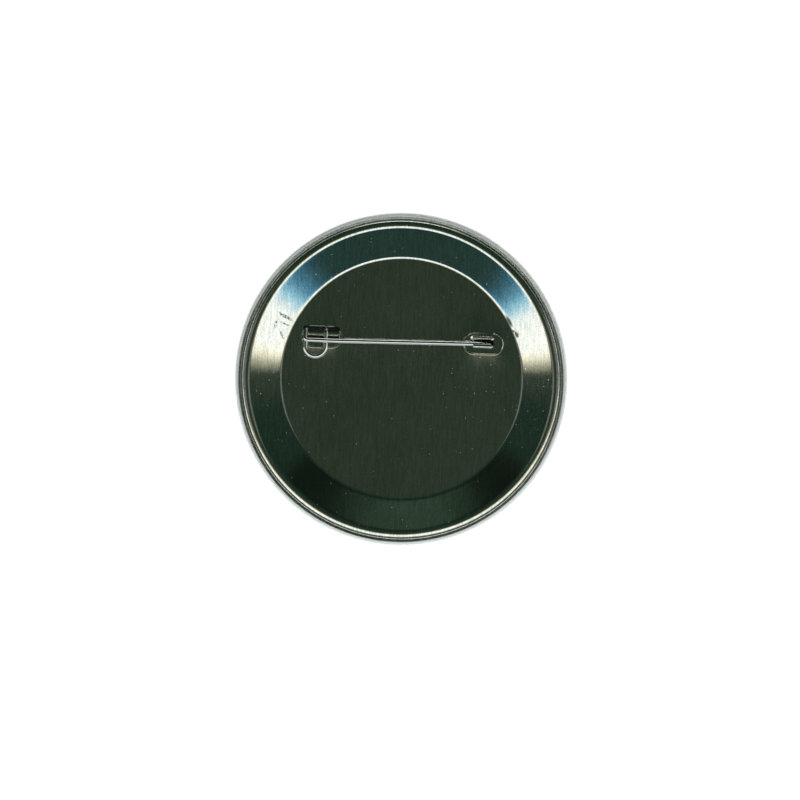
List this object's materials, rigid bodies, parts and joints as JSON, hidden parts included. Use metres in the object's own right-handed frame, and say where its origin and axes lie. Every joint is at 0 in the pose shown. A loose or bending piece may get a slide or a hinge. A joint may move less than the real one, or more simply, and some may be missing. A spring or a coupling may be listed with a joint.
{
  "type": "pin-back button badge",
  "caption": "Round pin-back button badge: shallow domed face, crimped edge, dished tinplate back and a hinged wire pin that swings out from under a hooked clasp.",
  "frame": {"origin": "apex of the domed face, on the surface that the badge lies on, face down", "axes": "+Z out of the back of the badge, +Y to the top of the badge as it is worn, +X from the hinge towards the clasp"},
  "size_m": [0.0572, 0.0572, 0.0075],
  "materials": {
    "clear_film": "clear glossy polyester film",
    "printed_paper": null,
    "shell_tinplate": "plain tinplate",
    "bright_tinplate": "bright rolled tinplate with fine rolling lines",
    "pin_wire": "bright nickel-plated spring wire"
  },
  "bodies": {
    "badge": {"clear_film": "clear_film", "artwork_disc": "printed_paper", "front_shell": "shell_tinplate", "back_plate": "bright_tinplate", "pin_anchor": "pin_wire"},
    "pin": {"pin_shank": "pin_wire"}
  },
  "joints": [
    {"name": "pin_swing", "type": "hinge", "parent": "badge", "child": "pin", "pos_m": [-0.01677, 0.00609, 0.00536], "axis": [0, -0.8387, 0.5446], "range_deg": [0, 50]}
  ]
}
